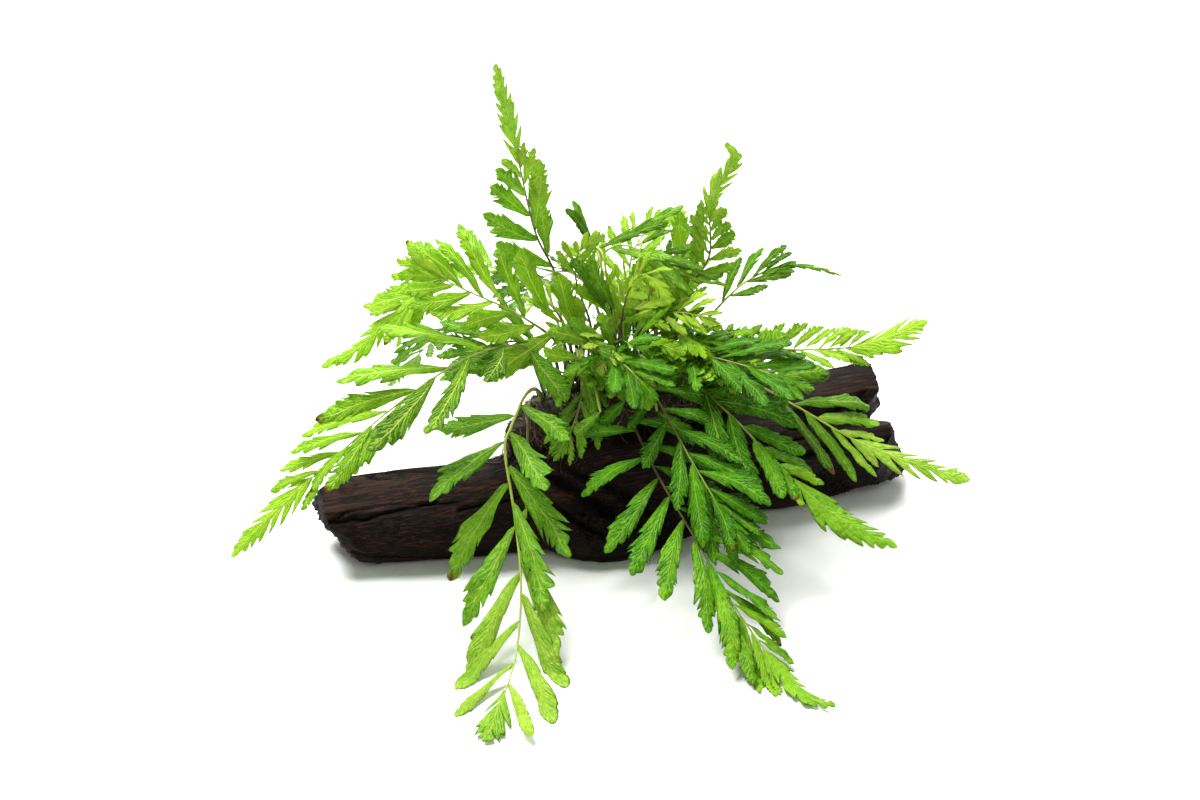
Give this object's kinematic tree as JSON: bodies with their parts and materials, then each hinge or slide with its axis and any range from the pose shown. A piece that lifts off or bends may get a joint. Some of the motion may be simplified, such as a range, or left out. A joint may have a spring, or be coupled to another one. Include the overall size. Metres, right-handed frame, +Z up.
{
  "type": "african water fern on driftwood",
  "caption": "Aquarium fern with arching pinnate fronds rising from a creeping stem, rooted on a forked length of dark driftwood that rests on its flat underside.",
  "frame": {"origin": "on the driftwood's flat underside, below the middle of the root mat", "axes": "+X along the driftwood towards its forked end, +Y to the back, +Z up"},
  "size_m": [0.296, 0.282, 0.204],
  "materials": {
    "driftwood": "wet, almost black water-logged wood with fine grain",
    "rhizome": "matt green-brown creeping stem with scales",
    "root_mat": "felt of fine dark brown roots with some moss",
    "stalk": "smooth thin dark olive stalk",
    "leaf_bright": "thin translucent yellow-green leaf with pale veins",
    "leaf_fresh": "thin translucent fresh green leaf with pale veins",
    "leaf_deep": "thin deep green leaf with a soft gloss"
  },
  "bodies": {
    "root": {"driftwood_lower_fork": "driftwood", "driftwood_trunk": "driftwood", "driftwood_upper_fork": "driftwood", "frond_back_arch_blade": "leaf_fresh", "frond_back_arch_stalk": "stalk", "frond_back_far_left_blade": "leaf_fresh", "frond_back_far_left_stalk": "stalk", "frond_back_left_blade": "leaf_bright", "frond_back_left_stalk": "stalk", "frond_back_middle_blade": "leaf_fresh", "frond_back_middle_stalk": "stalk", "frond_back_right_blade": "leaf_fresh", "frond_back_right_stalk": "stalk", "frond_back_up_blade": "leaf_bright", "frond_back_up_stalk": "stalk", "frond_front_left_blade": "leaf_fresh", "frond_front_left_stalk": "stalk", "frond_front_middle_blade": "leaf_deep", "frond_front_middle_left_blade": "leaf_deep", "frond_front_middle_left_stalk": "stalk", "frond_front_middle_stalk": "stalk", "frond_front_right_blade": "leaf_deep", "frond_front_right_stalk": "stalk", "frond_front_small_blade": "leaf_fresh", "frond_front_small_stalk": "stalk", "frond_left_mid_blade": "leaf_fresh", "frond_left_mid_stalk": "stalk", "frond_long_left_blade": "leaf_bright", "frond_long_left_stalk": "stalk", "frond_middle_bright_blade": "leaf_bright", "frond_middle_bright_stalk": "stalk", "frond_middle_left_blade": "leaf_fresh", "frond_middle_left_stalk": "stalk", "frond_middle_right_blade": "leaf_bright", "frond_middle_right_stalk": "stalk", "frond_right_far_blade": "leaf_fresh", "frond_right_far_stalk": "stalk", "frond_right_level_blade": "leaf_bright", "frond_right_level_stalk": "stalk", "frond_right_low_blade": "leaf_deep", "frond_right_low_stalk": "stalk", "frond_right_middle_blade": "leaf_deep", "frond_right_middle_stalk": "stalk", "frond_tall_left_blade": "leaf_fresh", "frond_tall_left_stalk": "stalk", "frond_tall_right_back_blade": "leaf_bright", "frond_tall_right_back_stalk": "stalk", "frond_tall_right_blade": "leaf_fresh", "frond_tall_right_stalk": "stalk", "frond_upper_left_blade": "leaf_bright", "frond_upper_left_stalk": "stalk", "frond_upper_right_blade": "leaf_fresh", "frond_upper_right_stalk": "stalk", "rhizome": "rhizome", "root_mat": "root_mat"}
  },
  "joints": []
}
